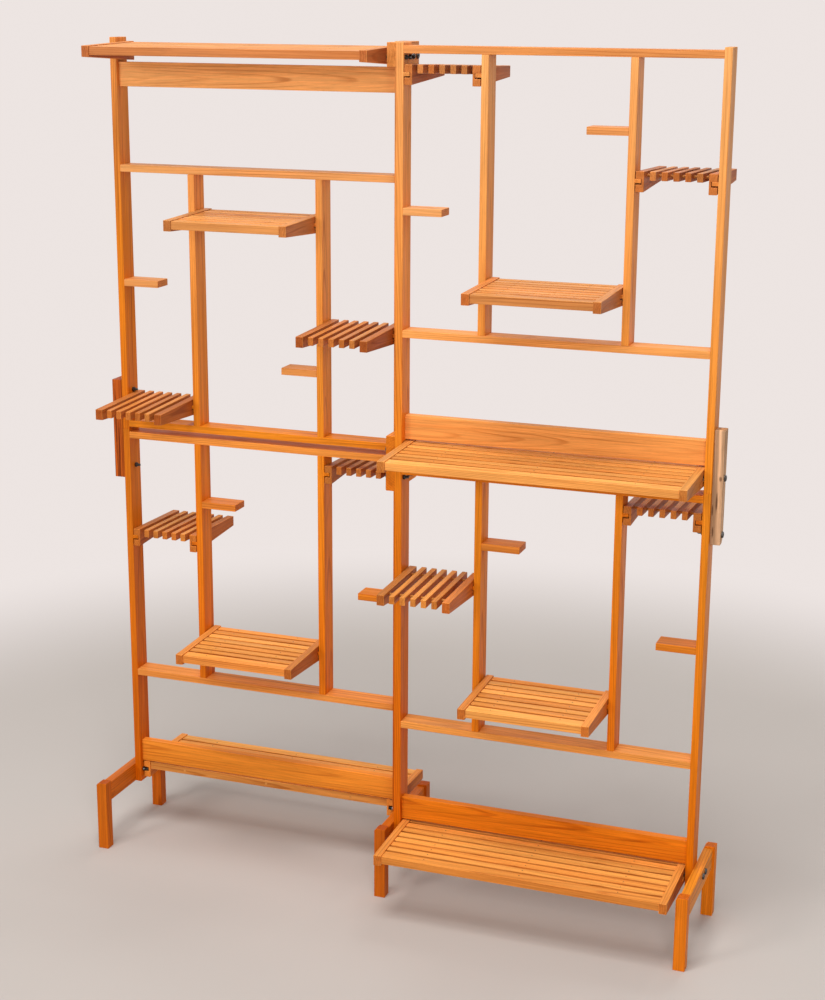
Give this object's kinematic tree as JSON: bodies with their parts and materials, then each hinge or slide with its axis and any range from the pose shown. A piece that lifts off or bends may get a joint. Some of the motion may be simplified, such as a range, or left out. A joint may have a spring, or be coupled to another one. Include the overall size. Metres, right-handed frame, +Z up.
{
  "type": "plant stand",
  "caption": "Tall free-standing wooden plant stand: two ladder-like frames bolted side by side, with slatted shelves that slide out of their seats to the front and back.",
  "frame": {"origin": "middle of the stand's outline, on the floor that the feet stand on", "axes": "+X to the right along the stand, +Y to the back, +Z up"},
  "size_m": [1.476, 0.486, 1.92],
  "materials": {
    "ash": "satin",
    "dark_wood": "satin",
    "pale_wood": "satin",
    "steel": "satin"
  },
  "bodies": {
    "frame": {"bolts": "steel", "foot_centre_bearer": "ash", "foot_left_bearer": "ash", "foot_legs": "ash", "foot_right_bearer": "ash", "left_plate": "dark_wood", "lower_left_inner_post_left": "ash", "lower_left_inner_post_right": "ash", "lower_left_lower_rail": "ash", "lower_left_outer_post_left": "ash", "lower_left_outer_post_right": "ash", "lower_left_perches": "ash", "lower_left_top_rail": "ash", "lower_left_wide_board": "ash", "lower_right_inner_post_left": "ash", "lower_right_inner_post_right": "ash", "lower_right_lower_rail": "ash", "lower_right_outer_post_left": "ash", "lower_right_outer_post_right": "ash", "lower_right_perches": "ash", "lower_right_top_rail": "ash", "lower_right_wide_board": "ash", "middle_block": "ash", "nuts": "steel", "right_plate": "pale_wood", "shelf_cleats": "ash", "top_block": "ash", "upper_left_inner_post_left": "ash", "upper_left_inner_post_right": "ash", "upper_left_lower_rail": "ash", "upper_left_outer_post_left": "ash", "upper_left_outer_post_right": "ash", "upper_left_perches": "ash", "upper_left_top_rail": "ash", "upper_left_wide_board": "ash", "upper_right_inner_post_left": "ash", "upper_right_inner_post_right": "ash", "upper_right_lower_rail": "ash", "upper_right_outer_post_left": "ash", "upper_right_outer_post_right": "ash", "upper_right_perches": "ash", "upper_right_top_rail": "ash", "upper_right_wide_board": "ash"},
    "shelf_lower_left_inner_rear": {"shelf_lower_left_inner_rear": "ash"},
    "shelf_lower_left_middle_front": {"shelf_lower_left_middle_front": "ash"},
    "shelf_lower_left_outer_rear": {"shelf_lower_left_outer_rear": "ash"},
    "shelf_lower_left_wide_rear": {"shelf_lower_left_wide_rear": "ash"},
    "shelf_lower_right_inner_front": {"shelf_lower_right_inner_front": "ash"},
    "shelf_lower_right_middle_front": {"shelf_lower_right_middle_front": "ash"},
    "shelf_lower_right_outer_rear": {"shelf_lower_right_outer_rear": "ash"},
    "shelf_lower_right_wide_front": {"shelf_lower_right_wide_front": "ash"},
    "shelf_upper_left_inner_front": {"shelf_upper_left_inner_front": "ash"},
    "shelf_upper_left_middle_front": {"shelf_upper_left_middle_front": "ash"},
    "shelf_upper_left_outer_front": {"shelf_upper_left_outer_front": "ash"},
    "shelf_upper_left_wide_front": {"shelf_upper_left_wide_front": "ash"},
    "shelf_upper_right_inner_rear": {"shelf_upper_right_inner_rear": "ash"},
    "shelf_upper_right_middle_front": {"shelf_upper_right_middle_front": "ash"},
    "shelf_upper_right_outer_rear": {"shelf_upper_right_outer_rear": "ash"},
    "shelf_upper_right_wide_front": {"shelf_upper_right_wide_front": "ash"}
  },
  "joints": [
    {"name": "shelf_lower_left_inner_rear_slide", "type": "slide", "parent": "frame", "child": "shelf_lower_left_inner_rear", "axis": [0, 1, 0], "range_m": [0, 0.06]},
    {"name": "shelf_lower_left_middle_front_slide", "type": "slide", "parent": "frame", "child": "shelf_lower_left_middle_front", "axis": [0, -1, 0], "range_m": [0, 0.06]},
    {"name": "shelf_lower_left_outer_rear_slide", "type": "slide", "parent": "frame", "child": "shelf_lower_left_outer_rear", "axis": [0, 1, 0], "range_m": [0, 0.06]},
    {"name": "shelf_lower_left_wide_rear_slide", "type": "slide", "parent": "frame", "child": "shelf_lower_left_wide_rear", "axis": [0, 1, 0], "range_m": [-0.012, 0.048]},
    {"name": "shelf_lower_right_inner_front_slide", "type": "slide", "parent": "frame", "child": "shelf_lower_right_inner_front", "axis": [0, -1, 0], "range_m": [0, 0.06]},
    {"name": "shelf_lower_right_middle_front_slide", "type": "slide", "parent": "frame", "child": "shelf_lower_right_middle_front", "axis": [0, -1, 0], "range_m": [0, 0.06]},
    {"name": "shelf_lower_right_outer_rear_slide", "type": "slide", "parent": "frame", "child": "shelf_lower_right_outer_rear", "axis": [0, 1, 0], "range_m": [0, 0.06]},
    {"name": "shelf_lower_right_wide_front_slide", "type": "slide", "parent": "frame", "child": "shelf_lower_right_wide_front", "axis": [0, -1, 0], "range_m": [-0.018, 0.042]},
    {"name": "shelf_upper_left_inner_front_slide", "type": "slide", "parent": "frame", "child": "shelf_upper_left_inner_front", "axis": [0, -1, 0], "range_m": [0, 0.06]},
    {"name": "shelf_upper_left_middle_front_slide", "type": "slide", "parent": "frame", "child": "shelf_upper_left_middle_front", "axis": [0, -1, 0], "range_m": [0, 0.06]},
    {"name": "shelf_upper_left_outer_front_slide", "type": "slide", "parent": "frame", "child": "shelf_upper_left_outer_front", "axis": [0, -1, 0], "range_m": [0, 0.06]},
    {"name": "shelf_upper_left_wide_front_slide", "type": "slide", "parent": "frame", "child": "shelf_upper_left_wide_front", "axis": [0, -1, 0], "range_m": [0, 0.06]},
    {"name": "shelf_upper_right_inner_rear_slide", "type": "slide", "parent": "frame", "child": "shelf_upper_right_inner_rear", "axis": [0, 1, 0], "range_m": [0, 0.06]},
    {"name": "shelf_upper_right_middle_front_slide", "type": "slide", "parent": "frame", "child": "shelf_upper_right_middle_front", "axis": [0, -1, 0], "range_m": [-0.01, 0.05]},
    {"name": "shelf_upper_right_outer_rear_slide", "type": "slide", "parent": "frame", "child": "shelf_upper_right_outer_rear", "axis": [0, 1, 0], "range_m": [0, 0.06]},
    {"name": "shelf_upper_right_wide_front_slide", "type": "slide", "parent": "frame", "child": "shelf_upper_right_wide_front", "axis": [0, -1, 0], "range_m": [0, 0.06]}
  ]
}
